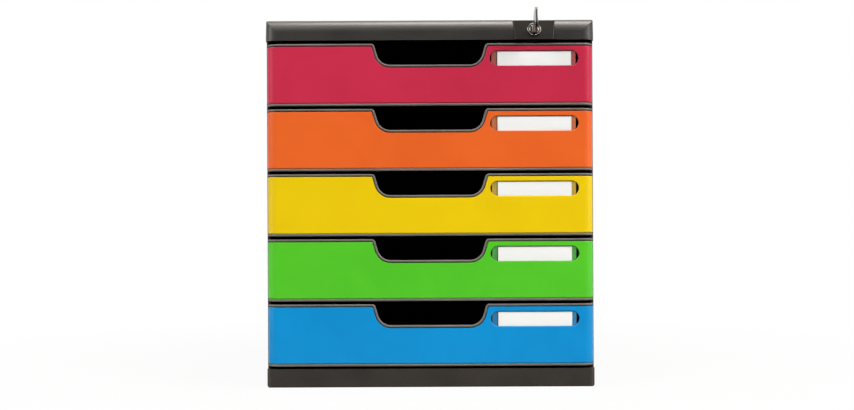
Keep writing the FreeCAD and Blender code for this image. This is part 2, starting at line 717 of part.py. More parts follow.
def make_plug():
    """Part of the lock that turns with the key, with its keyway."""
    plug = rod(PLUG_R, -PLUG_L, RING_T + PLUG_PROUD)
    wide = BLADE_T / 2 + KEYWAY_GAP
    tall = BLADE_W / 2 + KEYWAY_GAP
    plug = plug.cut(span((-wide, -tall, -KEYWAY_L), (wide, tall, RING_T + PLUG_PROUD)))
    return placed(plug.cut(rod(SCREW_R + SCREW_FIT, -PLUG_L, CAM_SCREW_L - CAM_BACK)))


def make_cam():
    """Crank behind the plug, with the pin that lifts the bar's arm."""
    turn = math.radians(180 + CRANK_START)
    pin_x = CRANK * math.cos(turn)
    pin_y = CRANK * math.sin(turn)
    web = span((0, -PIN_EYE_R, -CAM_BACK), (CRANK, PIN_EYE_R, -PLUG_L))
    web.rotate(V(0, 0, 0), V(0, 0, 1), 180 + CRANK_START)
    discs = [rod(CAM_R, -CAM_BACK, -PLUG_L), rod(PIN_EYE_R, -CAM_BACK, -PLUG_L, pin_x, pin_y)]
    plane_gap = BAR_Y - CAM_REAR_Y + (ARM_T / 2 + PIN_OVERLAP) + CRANK * math.sin(TILT)
    pin = rod(PIN_R, -CAM_BACK - plane_gap / math.cos(TILT), -CAM_BACK, pin_x, pin_y)
    cam = fuse(discs + [web, pin])
    return placed(cam.cut(rod(SCREW_R + SCREW_FIT, -CAM_BACK, -PLUG_L)))


def make_cam_screw():
    """Screw that holds the cam on the plug."""
    head = rod(CAM_SCREW_HEAD_R, -CAM_BACK - CAM_SCREW_HEAD_T, -CAM_BACK)
    return placed(fuse([head, rod(SCREW_R, -CAM_BACK, -CAM_BACK + CAM_SCREW_L)]))


def make_key():
    """Flat key with a rounded square bow, its blade in the keyway."""
    seat = RING_T + PLUG_PROUD + KEY_SEAT
    blade = span((-BLADE_T / 2, -BLADE_W / 2, seat - BLADE_L), (BLADE_T / 2, BLADE_W / 2, seat))
    step = (BLADE_L - seat - BLADE_CUT) / BLADE_CUTS
    for i in range(BLADE_CUTS):
        middle = -step * (i + 0.5)
        for side in (-1, 1):
            edge = side * BLADE_W / 2
            deep = (edge - side * BLADE_CUT, middle, 0)
            cut = [deep, (edge, middle - BLADE_CUT, 0), (edge, middle + BLADE_CUT, 0)]
            blade = blade.cut(outline(cut, sideways(-BLADE_T)).extrude(V(2 * BLADE_T, 0, 0)))
    neck = span((-KEY_T / 2, -NECK_W / 2, seat), (KEY_T / 2, NECK_W / 2, BOW_OUT))
    corners = [(-BOW_W / 2, BOW_OUT - BOW_L / 2, BOW_CORNER_R), (BOW_W / 2, BOW_OUT - BOW_L / 2, BOW_CORNER_R)]
    corners += [(BOW_W / 2, BOW_OUT + BOW_L / 2, BOW_CORNER_R), (-BOW_W / 2, BOW_OUT + BOW_L / 2, BOW_CORNER_R)]
    bow = outline(corners, sideways(-KEY_T / 2)).extrude(V(KEY_T, 0, 0))
    bow = bow.makeFillet(BOW_ROUND, [e for e in bow.Edges if e.BoundBox.XLength < KEY_T / 2])
    hole = Part.makeCylinder(BOW_HOLE_R, 2 * KEY_T, V(-KEY_T, 0, BOW_OUT + BOW_HOLE_OFF), V(1, 0, 0))
    return placed(fuse([blade, neck, bow]).cut(hole))


def build_case():
    """Writes the case's pieces and its screws."""
    save("top_cover", make_cover())
    save("base_plinth", make_base())
    save("left_side_panel", make_side(-1))
    save("right_side_panel", make_side(1))
    save("back_panel", make_back())
    for name, places, way in (
        ("cover_screws", cover_screw_places(), V(0, 0, 1)),
        ("base_screws", base_screw_places(), V(0, 0, 1)),
        ("back_screws", back_screw_places(), V(0, -1, 0)),
    ):
        save(name, Part.makeCompound([screw(at, way) for at in places]))


def build_drawers():
    """Models one drawer and writes it at each height."""
    pieces = {
        "tray": make_tray(),
        "front_frame": make_front_frame(),
        "front_panel": make_inlay(),
        "label_card": make_card(),
        "label_window": make_window(),
        "strike": make_strike(),
    }
    for row in range(1, DRAWERS + 1):
        for name, shape in pieces.items():
            save("drawer_%d_%s" % (row, name), moved(shape, z=front_z(row)))


def build_lock():
    """Writes the lock, its key and the bar that it lifts."""
    save("lock_housing", make_housing())
    save("lock_barrel", make_barrel())
    save("lock_nut", make_nut())
    save("lock_plug", make_plug())
    save("lock_cam", make_cam())
    save("cam_screw", make_cam_screw())
    save("key", make_key())
    save("lock_bar", make_bar())
    save("lock_bar_arm", make_arm())
    save("lock_bar_hooks", make_hooks())
    save("lock_bar_guides", make_clips())


os.makedirs("parts", exist_ok=True)
build_case()
build_drawers()
build_lock()
print("height", round(TOP_Z, 3), "bar stroke", round(STROKE, 4))
print("lock face centre", [round(c, 3) for c in LOCK_AT])
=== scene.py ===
# %% [markdown]
# A desktop drawer unit: a charcoal case, five trays with coloured fronts, and a small key lock.
# The imported CAD model is loaded first and stays as it is, as the frame that everything hangs on.
# Nothing added later may make the unit larger. Every length is in metres, as in the CAD model, and
# MM turns millimetres into them.

# %% Load the imported model
import json
import math

import bpy
from mathutils import Matrix, Vector


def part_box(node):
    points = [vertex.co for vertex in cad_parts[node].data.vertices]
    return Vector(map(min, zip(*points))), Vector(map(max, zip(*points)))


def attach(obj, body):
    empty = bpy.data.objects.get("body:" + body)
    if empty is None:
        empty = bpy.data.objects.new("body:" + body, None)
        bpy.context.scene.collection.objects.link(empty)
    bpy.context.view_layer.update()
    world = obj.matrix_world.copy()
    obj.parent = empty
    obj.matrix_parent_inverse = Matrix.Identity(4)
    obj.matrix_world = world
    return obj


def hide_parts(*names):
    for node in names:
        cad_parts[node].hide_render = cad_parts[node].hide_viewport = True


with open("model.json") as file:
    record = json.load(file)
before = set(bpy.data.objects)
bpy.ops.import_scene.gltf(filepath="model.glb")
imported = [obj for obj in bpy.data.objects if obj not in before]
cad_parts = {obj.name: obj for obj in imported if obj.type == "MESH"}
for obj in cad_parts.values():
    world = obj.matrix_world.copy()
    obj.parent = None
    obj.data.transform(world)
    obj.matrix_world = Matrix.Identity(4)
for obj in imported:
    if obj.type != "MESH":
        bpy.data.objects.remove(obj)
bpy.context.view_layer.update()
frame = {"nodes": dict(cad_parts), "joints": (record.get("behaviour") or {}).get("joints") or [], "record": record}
nodes = frame["nodes"]
bpy.context.scene.view_settings.view_transform = "Standard"
MM = 0.001

# %% [markdown]
# The photograph looks straight at the front from about 1.2 m, a short telephoto view with no tilt.
# One pixel covers 0.873 mm at the plane of the drawer fronts, and that sets the lens.
# The unit stands a hair off the middle and leans a quarter of a degree. The CAD model stands true, so the
# camera is moved and turned instead.

# %% Camera
PHOTO_W = 854
PIXEL = 0.873 * MM
DISTANCE = 1.2
SENSOR = 36.0
LEAN = math.radians(0.26)
AIM_X, AIM_Z = -2.85 * MM, 159.0 * MM
FRONT_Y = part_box("drawer_1_front_frame")[0].y

look_at = Vector((AIM_X, FRONT_Y, AIM_Z))
bpy.ops.object.camera_add(location=look_at - Vector((0, DISTANCE, 0)))
camera = bpy.context.object
upright = Matrix.Rotation(math.pi / 2, 3, "X")
camera.rotation_euler = (upright @ Matrix.Rotation(-LEAN, 3, "Z")).to_euler()
camera.data.sensor_width = SENSOR
camera.data.lens = SENSOR * DISTANCE / (PHOTO_W * PIXEL)
bpy.context.scene.camera = camera
print("lens", round(camera.data.lens, 2), "mm")

# %% [markdown]
# Every finish below is written as an sRGB hex value, the way a paint card gives it.
# Blender's shaders work in linear light, so one function turns the hex into linear numbers.
# A second one adds a shader node: its own options, and its inputs as values or as other nodes' outputs.
# The last two start a material and end one that mixes its Principled shader with another shader.

# %% Colour and node helpers
def tone(code):
    """Linear RGBA of an sRGB hex colour, by the curve of the sRGB standard."""
    parts = [int(code[i : i + 2], 16) / 255 for i in (0, 2, 4)]
    linear = [c / 12.92 if c <= 0.04045 else ((c + 0.055) / 1.055) ** 2.4 for c in parts]
    return (*linear, 1.0)


def add(tree, kind, feeds=None, **options):
    """Adds one node with its options, and sets or links its inputs."""
    node = tree.nodes.new(kind)
    for option, value in options.items():
        setattr(node, option, value)
    for socket, value in (feeds or {}).items():
        if isinstance(value, bpy.types.NodeSocket):
            tree.links.new(value, node.inputs[socket])
        else:
            node.inputs[socket].default_value = value
    return node


def blank_material(name):
    """A new material with a Principled shader, its tree and its Object coordinates."""
    material = bpy.data.materials.new(name)
    material.use_nodes = True
    tree = material.node_tree
    tree.nodes.clear()
    shader = add(tree, "ShaderNodeBsdfPrincipled")
    add(tree, "ShaderNodeOutputMaterial", {"Surface": shader.outputs["BSDF"]})
    place = add(tree, "ShaderNodeTexCoord").outputs["Object"]
    return material, tree, shader, place


def show(tree, mixed):
    """Links a mixed shader to the material's output, in place of the plain one."""
    out = next(node for node in tree.nodes if node.type == "OUTPUT_MATERIAL")
    tree.links.new(mixed.outputs[0], out.inputs["Surface"])


print("mid grey is", [round(v, 3) for v in tone("808080")[:3]], "in linear light")

# %% [markdown]
# The unit stands on a plain white sweep, as in a studio. The floor is a pale laminate sheet, large enough
# to run out of sight behind the unit, which ends a little way in front of it.
# To the camera it fades to plain white away from the unit, and near the unit it keeps the shadow. In
# reflections it is white behind the unit and dark in front. More light would whiten it too, but would also
# bleach the unit, so a glow that only those rays see is mixed over the laminate.

# %% Floor
SHEET_W, SHEET_L, SHEET_FRONT = 16.0, 15.0, -0.5
FLOOR_TONE, FLOOR_ROUGH = "B4B4B2", 0.7
SHADOW_NEAR, SHADOW_FAR, NEAR_WHITE = 0.2, 0.62, 0.93
PALE_FROM, PALE_TO = -0.2, 0.1
WHITE = (1, 1, 1, 1)

bpy.ops.object.select_all(action="DESELECT")
bpy.ops.mesh.primitive_plane_add(size=1, location=(0, SHEET_FRONT + SHEET_L / 2, 0))
floor = bpy.context.object
floor.name = "floor"
floor.scale = (SHEET_W, SHEET_L, 1)
bpy.ops.object.transform_apply(location=True, rotation=False, scale=True)
laminate, tree, shader, place = blank_material("floor_white_laminate")
shader.inputs["Base Color"].default_value = tone(FLOOR_TONE)
shader.inputs["Roughness"].default_value = FLOOR_ROUGH
reach = add(tree, "ShaderNodeVectorMath", {0: place}, operation="LENGTH")
fade = add(tree, "ShaderNodeMapRange", {"Value": reach.outputs["Value"],
                                        "From Min": SHADOW_NEAR, "From Max": SHADOW_FAR,
                                        "To Min": NEAR_WHITE, "To Max": 1.0})
path = add(tree, "ShaderNodeLightPath")
camera_ray = path.outputs["Is Camera Ray"]
depth = add(tree, "ShaderNodeSeparateXYZ", {0: place})
behind = add(tree, "ShaderNodeMapRange", {"Value": depth.outputs["Y"],
                                          "From Min": PALE_FROM, "From Max": PALE_TO})
glance = add(tree, "ShaderNodeMath", {0: path.outputs["Is Glossy Ray"],
                                      1: path.outputs["Is Transmission Ray"]})
share = add(tree, "ShaderNodeMath", {0: camera_ray, 1: fade.outputs["Result"], 2: glance.outputs[0]},
            operation="MULTIPLY_ADD", use_clamp=True)
white = add(tree, "ShaderNodeMath", {0: camera_ray, 1: behind.outputs["Result"]}, operation="MAXIMUM")
glow = add(tree, "ShaderNodeEmission", {"Color": WHITE, "Strength": white.outputs[0]})
show(tree, add(tree, "ShaderNodeMixShader", {0: share.outputs[0], 1: shader.outputs[0],
                                             2: glow.outputs[0]}))
floor.data.materials.append(laminate)
print("floor from", SHEET_FRONT, "m, white from", SHADOW_FAR, "m")

# %% [markdown]
# The world stands for the rest of the room, which is dim behind the camera.
# It is white wherever the camera sees it. In reflections it is pale behind the unit and dim in front, so
# that metal shows the sweep and the fronts aren't veiled, and elsewhere it only fills in the shade.
# Walls and cards would do the same in a studio. Three backgrounds, told apart by the kind of ray, do it
# here, because they take no room and don't get in the way of other views.

# %% World
FILL = 0.2
DIM, SWEEP = 0.03, 0.9
SWEEP_FROM, SWEEP_TO = -0.1, 0.8

world = bpy.data.worlds.new("studio")
bpy.context.scene.world = world
world.use_nodes = True
tree = world.node_tree
tree.nodes.clear()
path = add(tree, "ShaderNodeLightPath")
camera_ray = path.outputs["Is Camera Ray"]
glance = add(tree, "ShaderNodeMath", {0: path.outputs["Is Glossy Ray"],
                                      1: path.outputs["Is Transmission Ray"]})
toward = add(tree, "ShaderNodeSeparateXYZ", {0: add(tree, "ShaderNodeTexCoord").outputs["Generated"]})
sweep = add(tree, "ShaderNodeMapRange", {"Value": toward.outputs["Y"],
                                         "From Min": SWEEP_FROM, "From Max": SWEEP_TO,
                                         "To Min": DIM, "To Max": SWEEP})
fill = add(tree, "ShaderNodeBackground", {"Color": WHITE, "Strength": FILL})
mirrored = add(tree, "ShaderNodeBackground", {"Color": WHITE, "Strength": sweep.outputs["Result"]})
white = add(tree, "ShaderNodeBackground", {"Color": WHITE, "Strength": 1.0})
room = add(tree, "ShaderNodeMixShader", {0: glance.outputs[0], 1: fill.outputs[0],
                                         2: mirrored.outputs[0]})
view = add(tree, "ShaderNodeMixShader", {0: camera_ray, 1: room.outputs[0], 2: white.outputs[0]})
add(tree, "ShaderNodeOutputWorld", {"Surface": view.outputs[0]})
print("world fill", FILL, "and reflections from", DIM, "to", SWEEP)

# %% [markdown]
# A softbox hangs over the unit, a little to the right. It draws the bright band on the cover's rolled edge,
# which fades to the left. A dim scrim in front of it softens that band's lower side, and the rims shade the
# panels' upper edges from it.
# Two large softboxes light the fronts from high at the sides, the right one a little more. Upright faces
# mirror only the dim room, so their colours stay deep, and nothing shines from straight ahead, so the
# lock's leaning face stays dark.
# Two tall strip lights stand at the sides. They count only in reflections: each draws a bright line down a
# rounded corner of the cover, and a spot on the end of each rim.
# The lamps together light a front about as brightly as its colour is written.

# %% Lights
TARGET = Vector((0, FRONT_Y, 0.16))
COVER_Z = 0.3
SIDE_SIZE = (1.2, 0.9)
STRIP_X, STRIP_Y, STRIP_Z = 1.45, -0.56, 0.8
STRIP_SIZE, STRIP_WATTS = (0.5, 1.8), 10.0
WARM = (1.0, 0.94, 0.86)


def softbox(name, at, aim, size, watts):
    """A rectangular area light at a place, turned to a point."""
    turn = (Vector(aim) - Vector(at)).to_track_quat("-Z", "Y").to_euler()
    bpy.ops.object.light_add(type="AREA", location=at, rotation=turn)
    light = bpy.context.object
    light.name = name
    light.data.shape = "RECTANGLE"
    light.data.size, light.data.size_y = size
    light.data.energy = watts
    light.visible_camera = False
    return light


over = softbox("softbox_over", at=(0.1, -0.12, 1.35), aim=(0.1, -0.1, COVER_Z),
               size=(0.64, 0.55), watts=13.6)
scrim = softbox("scrim_front", at=(0, -0.69, 1.39), aim=(0, FRONT_Y, COVER_Z),
                size=(1.8, 0.7), watts=4.8)
for light in (over, scrim):
    light.data.color = WARM
softbox("softbox_left", at=(-1.22, -0.96, 1.35), aim=TARGET, size=SIDE_SIZE, watts=23.6)
softbox("softbox_right", at=(1.30, -0.83, 1.35), aim=TARGET, size=SIDE_SIZE, watts=31.9)
for side, name in ((-1, "strip_left"), (1, "strip_right")):
    tall = softbox(name, at=(side * STRIP_X, STRIP_Y, STRIP_Z), aim=(0, FRONT_Y, STRIP_Z),
                   size=STRIP_SIZE, watts=STRIP_WATTS)
    tall.visible_diffuse = False

# %% [markdown]
# The case, the trays and the rims are polystyrene, moulded in a tool whose faces were spark-eroded.
# That leaves a fine matt grain of about 0.3 mm. It is drawn three times as coarse here, so that it shows.
# One function makes the greys: the grain moves the tone, the roughness and the surface a little, and a
# slow cloud, a few centimetres across, keeps the wide faces from looking dead even.
# The base is the case's plastic, a shade lighter and warmer: painted light, for the pale floor's bounce.
# PLASTIC_IOR is polystyrene's, and the other plastics here come close to it.

# %% Grained polystyrene
PLASTIC_IOR = 1.59
NOISE_LOW, NOISE_HIGH = 0.3, 0.7
GRAIN, GRAIN_DEPTH, GRAIN_BUMP = 0.9 * MM, 0.02 * MM, 0.35
CLOUD = 35 * MM
BLEND_LOW, BLEND_HIGH = 0.12, 0.40
ROUGH_SPREAD = 0.05


def grained_polystyrene(name, dark, light, rough):
    """Moulded polystyrene with a matt spark-eroded grain between two close tones."""
    material, tree, shader, place = blank_material(name)
    grain = add(tree, "ShaderNodeTexNoise", {"Vector": place, "Scale": 1 / GRAIN,
                                             "Detail": 2.0, "Roughness": 0.6})
    cloud = add(tree, "ShaderNodeTexNoise", {"Vector": place, "Scale": 1 / CLOUD, "Detail": 2.0})
    blend = add(tree, "ShaderNodeMath", {0: grain.outputs["Fac"], 1: cloud.outputs["Fac"]},
                operation="MULTIPLY")
    tones = add(tree, "ShaderNodeValToRGB", {"Fac": blend.outputs[0]})
    for stop, at, code in zip(tones.color_ramp.elements, (BLEND_LOW, BLEND_HIGH), (dark, light)):
        stop.position = at
        stop.color = tone(code)
    tree.links.new(tones.outputs["Color"], shader.inputs["Base Color"])
    matt = add(tree, "ShaderNodeMapRange", {"Value": grain.outputs["Fac"],
                                            "From Min": NOISE_LOW, "From Max": NOISE_HIGH,
                                            "To Min": rough - ROUGH_SPREAD, "To Max": rough + ROUGH_SPREAD})
    tree.links.new(matt.outputs["Result"], shader.inputs["Roughness"])
    bump = add(tree, "ShaderNodeBump", {"Height": grain.outputs["Fac"], "Strength": GRAIN_BUMP,
                                        "Distance": GRAIN_DEPTH})
    tree.links.new(bump.outputs["Normal"], shader.inputs["Normal"])
    shader.inputs["IOR"].default_value = PLASTIC_IOR
    return material


case_plastic = grained_polystyrene("polystyrene_charcoal_grain", "2A2725", "35322F", rough=0.4)
# Painted light: the case's charcoal, lighter and warmer, for the light the floor throws onto the base.
base_plastic_painted_bounce = grained_polystyrene("polystyrene_charcoal_painted_bounce_grain", "322D28", "3E3832", rough=0.4)
tray_plastic = grained_polystyrene("polystyrene_black_grain", "141414", "1D1D1C", rough=0.5)
front_plastic = grained_polystyrene("polystyrene_grey_grain", "625E59", "736E68", rough=0.42)
print("greys", [m.name for m in (case_plastic, base_plastic_painted_bounce, tray_plastic, front_plastic)])

# %% [markdown]
# The five panels are polystyrene too, coloured right through and moulded in a polished tool.
# They are smooth with a soft gloss. What the eye finds on them is a faint flow of the pigment, a few
# centimetres across, and a slight ripple where the skin shrank as it cooled.

# %% Coloured panels
FLOW, FLOW_SWIRL = 45 * MM, 0.6
RIPPLE, RIPPLE_DEPTH, RIPPLE_BUMP = 3.0 * MM, 0.01 * MM, 0.2
PANEL_SMOOTH, PANEL_DULL = 0.28, 0.38
SOFT_SPECULAR = 0.2
PANEL_TONES = {
    "red": ("BE2844", "C62B49"),
    "orange": ("E26021", "E76524"),
    "yellow": ("E5C200", "E9C700"),
    "green": ("4FBF25", "54C528"),
    "blue": ("0088CA", "008FD1"),
}


def smooth_plastic(name, low, high):
    """Smooth plastic, coloured right through, with a faint flow of its pigment."""
    material, tree, shader, place = blank_material(name)
    flow = add(tree, "ShaderNodeTexNoise", {"Vector": place, "Scale": 1 / FLOW,
                                            "Detail": 3.0, "Distortion": FLOW_SWIRL})
    tones = add(tree, "ShaderNodeValToRGB", {"Fac": flow.outputs["Fac"]})
    for stop, at, code in zip(tones.color_ramp.elements, (NOISE_LOW, NOISE_HIGH), (low, high)):
        stop.position = at
        stop.color = tone(code)
    tree.links.new(tones.outputs["Color"], shader.inputs["Base Color"])
    ripple = add(tree, "ShaderNodeTexNoise", {"Vector": place, "Scale": 1 / RIPPLE, "Detail": 1.0})
    gloss = add(tree, "ShaderNodeMapRange", {"Value": ripple.outputs["Fac"],
                                             "To Min": PANEL_SMOOTH, "To Max": PANEL_DULL})
    tree.links.new(gloss.outputs["Result"], shader.inputs["Roughness"])
    bump = add(tree, "ShaderNodeBump", {"Height": ripple.outputs["Fac"], "Strength": RIPPLE_BUMP,
                                        "Distance": RIPPLE_DEPTH})
    tree.links.new(bump.outputs["Normal"], shader.inputs["Normal"])
    shader.inputs["IOR"].default_value = PLASTIC_IOR
    shader.inputs["Specular IOR Level"].default_value = SOFT_SPECULAR
    return material


panel_plastic = [smooth_plastic("polystyrene_" + c, *PANEL_TONES[c]) for c in PANEL_TONES]
print("panels", [m.name for m in panel_plastic])

# %% [markdown]
# Each label is a plain paper card: matt and very white, with fibres that show as a faint mottle.
# Fine noise between two whites gives the mottle, and the same noise moves the roughness. It is about a
# millimetre across, coarser than the fibres, so that it shows.

# %% Label card
FIBRE = 1.1 * MM
FIBRE_LOW, FIBRE_HIGH = 0.3, 0.65
CARD_TONES = ("FAFBF9", "FDFEFD")
CARD_SMOOTH, CARD_DULL = 0.75, 0.95

card_paper, tree, shader, place = blank_material("card_white_uncoated")
fibre = add(tree, "ShaderNodeTexNoise", {"Vector": place, "Scale": 1 / FIBRE,
                                         "Detail": 4.0, "Roughness": 0.7})
tones = add(tree, "ShaderNodeValToRGB", {"Fac": fibre.outputs["Fac"]})
for stop, at, code in zip(tones.color_ramp.elements, (FIBRE_LOW, FIBRE_HIGH), CARD_TONES):
    stop.position = at
    stop.color = tone(code)
tree.links.new(tones.outputs["Color"], shader.inputs["Base Color"])
matt = add(tree, "ShaderNodeMapRange", {"Value": fibre.outputs["Fac"],
                                        "To Min": CARD_SMOOTH, "To Max": CARD_DULL})
tree.links.new(matt.outputs["Result"], shader.inputs["Roughness"])
print("card", card_paper.name)

# %% [markdown]
# The card lies behind a clear extruded strip. The strip is thin enough that light goes straight through
# it, so it is a mix of a clear shader and a gloss that grows towards the edges of sight. A glass shader
# would bend the light too, which so thin a sheet doesn't show.
# The strip's two ends are frosted as grips for a finger, which leaves a mist with the greenish tint that
# clear plastic has in depth, and takes that tint from the light that passes. A dark band along its upper
# edge and a narrow strip beside the card's left end are painted shadow: the shade that the pocket's upper
# wall casts on the card, and the shade beside the card's left end.

# %% Clear strip
SMEAR = 20 * MM
FRESNEL_POWER = 5.0


def clear_plastic(name, through, mist_tone, veil, rough):
    """Thin clear plastic: light goes straight through, under a gloss that grows with the angle."""
    material, tree, shader, place = blank_material(name)
    shader.inputs["Base Color"].default_value = tone(mist_tone)
    shader.inputs["Roughness"].default_value = rough
    shader.inputs["IOR"].default_value = PLASTIC_IOR
    clear = add(tree, "ShaderNodeBsdfTransparent", {"Color": tone(through)})
    haze = add(tree, "ShaderNodeTexNoise", {"Vector": place, "Scale": 1 / SMEAR, "Detail": 2.0})
    slant = add(tree, "ShaderNodeLayerWeight", {"Blend": 0.5})
    edge = add(tree, "ShaderNodeMath", {0: slant.outputs["Facing"], 1: FRESNEL_POWER}, operation="POWER")
    mist = add(tree, "ShaderNodeMath", {0: haze.outputs["Fac"], 1: 2 * veil, 2: veil},
               operation="MULTIPLY_ADD")
    gloss = add(tree, "ShaderNodeMath", {0: edge.outputs[0], 1: mist.outputs[0]}, use_clamp=True)
    show(tree, add(tree, "ShaderNodeMixShader", {0: gloss.outputs[0], 1: clear.outputs[0],
                                                 2: shader.outputs[0]}))
    return material


strip_clear = clear_plastic("polystyrene_clear_polished", "FFFFFF", "EFEDE6", veil=0.002, rough=0.08)
strip_frosted = clear_plastic("polystyrene_clear_frosted", "FCF0FB", "8CF0AE", veil=0.038, rough=0.4)
# Painted shadow: a dim, dark-tinted clear plastic for the shade that the pocket's rim casts on the card.
strip_painted_shadow = clear_plastic("polystyrene_clear_painted_shadow", "9C938B", "8F8A80", veil=0.02, rough=0.2)
print("strip", strip_clear.name, strip_frosted.name, strip_painted_shadow.name)

# %% [markdown]
# The lock sits in a smooth black block. The barrel and the plug are zinc castings plated with nickel, the
# key is sheet steel with the same plating, dull where it was sheared and darker there by painted shade,
# the bar and the cam are black passivated sheet steel, and the screws are plated with zinc.
# Metals keep the default IOR: their colour is their reflection. Fine scratches and the duller zinc come
# from noise on the roughness, half a millimetre across, which is coarser than real ones, so that it
# shows. On the key and the bar it is drawn out along their length.

# %% Block, nickel and zinc
SCRATCH = 0.5 * MM


def plated_metal(name, low, high, smooth, dull, stretch=(1, 1, 1)):
    """Plated metal whose tone and gloss wander in fine streaks."""
    material, tree, shader, place = blank_material(name)
    turned = add(tree, "ShaderNodeMapping", {"Vector": place, "Scale": stretch})
    streak = add(tree, "ShaderNodeTexNoise", {"Vector": turned.outputs[0], "Scale": 1 / SCRATCH,
                                              "Detail": 3.0})
    tones = add(tree, "ShaderNodeValToRGB", {"Fac": streak.outputs["Fac"]})
    for stop, at, code in zip(tones.color_ramp.elements, (NOISE_LOW, NOISE_HIGH), (low, high)):
        stop.position = at
        stop.color = tone(code)
    tree.links.new(tones.outputs["Color"], shader.inputs["Base Color"])
    gloss = add(tree, "ShaderNodeMapRange", {"Value": streak.outputs["Fac"],
                                             "From Min": NOISE_LOW, "From Max": NOISE_HIGH,
                                             "To Min": smooth, "To Max": dull})
    tree.links.new(gloss.outputs["Result"], shader.inputs["Roughness"])
    shader.inputs["Metallic"].default_value = 1.0
    return material


lock_plastic = smooth_plastic("abs_black_smooth", "23201D", "292623")
nickel = plated_metal("zinc_casting_nickel_plated", "9E9B96", "BAB7B2", smooth=0.1, dull=0.2)
key_steel = plated_metal("sheet_steel_nickel_plated", "B6B4B0", "D2D0CB", smooth=0.22, dull=0.34,
                         stretch=(1, 1, 0.2))
# Duller sheared steel, darkened further as painted shade on the key's edges.
key_edge_painted_shade = plated_metal("sheet_steel_edge_painted_shade", "4E4C4A", "63615E", smooth=0.35, dull=0.5)
bar_steel = plated_metal("sheet_steel_black_passivated", "262625", "323231", smooth=0.4, dull=0.55,
                         stretch=(1, 1, 0.1))
screw_steel = plated_metal("screw_steel_zinc_plated", "80807E", "A09F9B", smooth=0.3, dull=0.45)
print("block", lock_plastic.name)
print("metals", [m.name for m in (nickel, key_steel, key_edge_painted_shade, bar_steel, screw_steel)])

# %% [markdown]
# The CAD nodes carry the unit's real shapes, so most of them stay and only take a finish.
# The imported record says which material slot each node belongs to, and one table turns a slot into a finish.
# The base alone has a finish of its own within its slot: the case's plastic, lightened as painted floor bounce.

# %% Dress the CAD nodes
FINISH = {
    "case_plastic": case_plastic,
    "tray_plastic": tray_plastic,
    "front_plastic": front_plastic,
    "label_card": card_paper,
    "label_window": strip_clear,
    "lock_block": lock_plastic,
    "plated_metal": nickel,
    "bar_steel": bar_steel,
    "screw_steel": screw_steel,
}
FINISH.update({"panel_" + c: m for c, m in zip(PANEL_TONES, panel_plastic)})
NODE_SLOT = {s["node"]: s["material_slot"] for s in frame["record"]["subparts"]}
for name, node in nodes.items():
    node.data.materials.clear()
    node.data.materials.append(base_plastic_painted_bounce if name == "base_plinth" else FINISH[NODE_SLOT[name]])
print("dressed", len(nodes), "nodes in", len(FINISH), "finishes")

# %% [markdown]
# The rest is modelled here, as by hand: a primitive is added at its size, shaped in edit mode, and
# finished with modifiers. Three helpers save repeating the same steps. Two add a primitive, or a box, with
# nothing else selected. The third selects faces or edges by where they are and which way they point, which
# is what a click would do in the window.
# ALONG, ACROSS and FLAT say how much of a direction lies along an axis for the click to count, and NEAR
# is how close two heights are to count as one.

# %% Adding and picking
ALONG, ACROSS, FLAT = 0.9, 0.1, 0.99
NEAR = 0.01 * MM


def fresh(name, kind, **options):
    """Adds one primitive with nothing else selected, and names it."""
    bpy.ops.object.select_all(action="DESELECT")
    getattr(bpy.ops.mesh, "primitive_" + kind + "_add")(**options)
    piece = bpy.context.object
    piece.name = name
    return piece


def block(name, low, high):
    """A box between two corners, with its size applied."""
    piece = fresh(name, "cube", size=1, location=(Vector(low) + Vector(high)) / 2)
    piece.scale = Vector(high) - Vector(low)
    bpy.ops.object.transform_apply(location=True, rotation=False, scale=True)
    return piece


def pick(piece, kind, test):
    """Opens a piece in edit mode with the faces or edges that pass a test selected."""
    bpy.ops.object.mode_set(mode="EDIT")
    bpy.ops.mesh.select_mode(type=kind)
    bpy.ops.mesh.select_all(action="DESELECT")
    bpy.ops.object.mode_set(mode="OBJECT")
    mesh = piece.data
    if kind == "FACE":
        for face in mesh.polygons:
            face.select = test(face.center, face.normal)
    else:
        for edge in mesh.edges:
            a, b = (mesh.vertices[v].co for v in edge.vertices)
            edge.select = test((a + b) / 2, (b - a).normalized())
    bpy.ops.object.mode_set(mode="EDIT")


print("helpers", [step.__name__ for step in (fresh, block, pick)])

# %% [markdown]
# Three more helpers finish a piece. A boolean joins another shape to it or cuts one out of it, which is
# surer than stitching faces by hand. Then the piece is selected alone, and shaded smooth with its sharp
# edges kept crisp.

# %% Joining and smoothing
CRISP = math.radians(30)


def combine(piece, tool, how):
    """Joins a tool to a piece or cuts it out of the piece, and removes the tool."""
    change = piece.modifiers.new(how.lower(), "BOOLEAN")
    change.operation = how
    change.object = tool
    change.solver = "EXACT"
    bpy.context.view_layer.objects.active = piece
    bpy.ops.object.modifier_apply(modifier=change.name)
    bpy.data.objects.remove(tool)


def only(piece):
    """Selects one piece alone and makes it the active one."""
    bpy.ops.object.select_all(action="DESELECT")
    piece.select_set(True)
    bpy.context.view_layer.objects.active = piece


def soften(piece):
    """Shades smooth, and keeps sharp edges crisp."""
    only(piece)
    bpy.ops.object.shade_smooth_by_angle(angle=CRISP)


print("helpers", [step.__name__ for step in (combine, only, soften)])

# %% [markdown]
# A clear strip slides over each card and holds it in its pocket. It is an extruded plastic with round ends
# that are cut off straight, so two dark eyes stay open beside it, where a pin can lift it.
# A box gets its four corners rounded by a bevel, two bisects cut the ends, and a fine bevel breaks the
# front edge, which is what catches the light.

# %% Label strip's shape
EYE_LEFT, EYE_RIGHT = 1.5 * MM, 2.7 * MM
STRIP_AIR = 0.08 * MM
STRIP_EDGE = 0.13 * MM
ROUND_SHARE = 0.499

